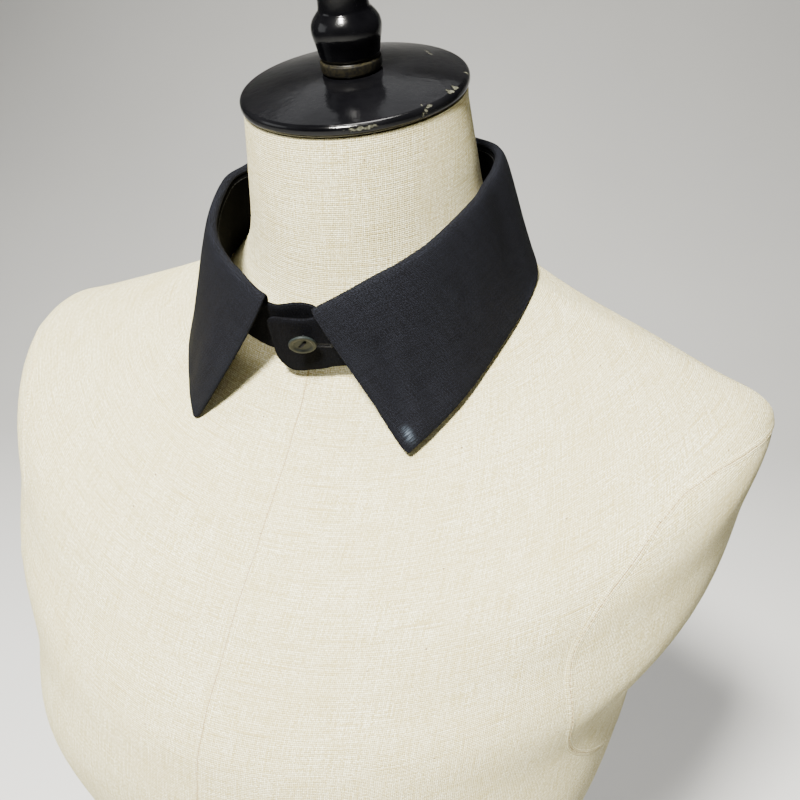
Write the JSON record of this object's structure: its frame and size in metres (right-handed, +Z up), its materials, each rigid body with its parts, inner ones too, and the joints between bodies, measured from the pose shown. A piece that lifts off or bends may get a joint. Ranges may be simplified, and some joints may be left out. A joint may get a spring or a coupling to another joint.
{
  "type": "detachable shirt collar on a limbless dress form",
  "caption": "Buttoned detachable shirt collar with a stand and a pointed turned-down leaf, worn on a limbless dress form with a neck cap, a finial and a low base board.",
  "frame": {"origin": "middle of the underside of the base board's bounding box, on the surface the dress form stands on", "axes": "+Z up, the front of the collar and form faces -Y, +X is the wearer's left"},
  "size_m": [0.381, 0.264, 0.6533],
  "materials": {
    "collar_cloth": "matt black plain weave with a slight sheen",
    "button": "satin grey-green resin",
    "form_linen": "matt cream linen, plain weave with slubs",
    "lacquer": "glossy black lacquer on turned wood"
  },
  "bodies": {
    "root": {"collar_stand": "collar_cloth", "collar_leaf": "collar_cloth", "button": "button", "form_body": "form_linen", "neck_cap": "lacquer", "finial": "lacquer", "base_board": "lacquer"}
  },
  "joints": []
}
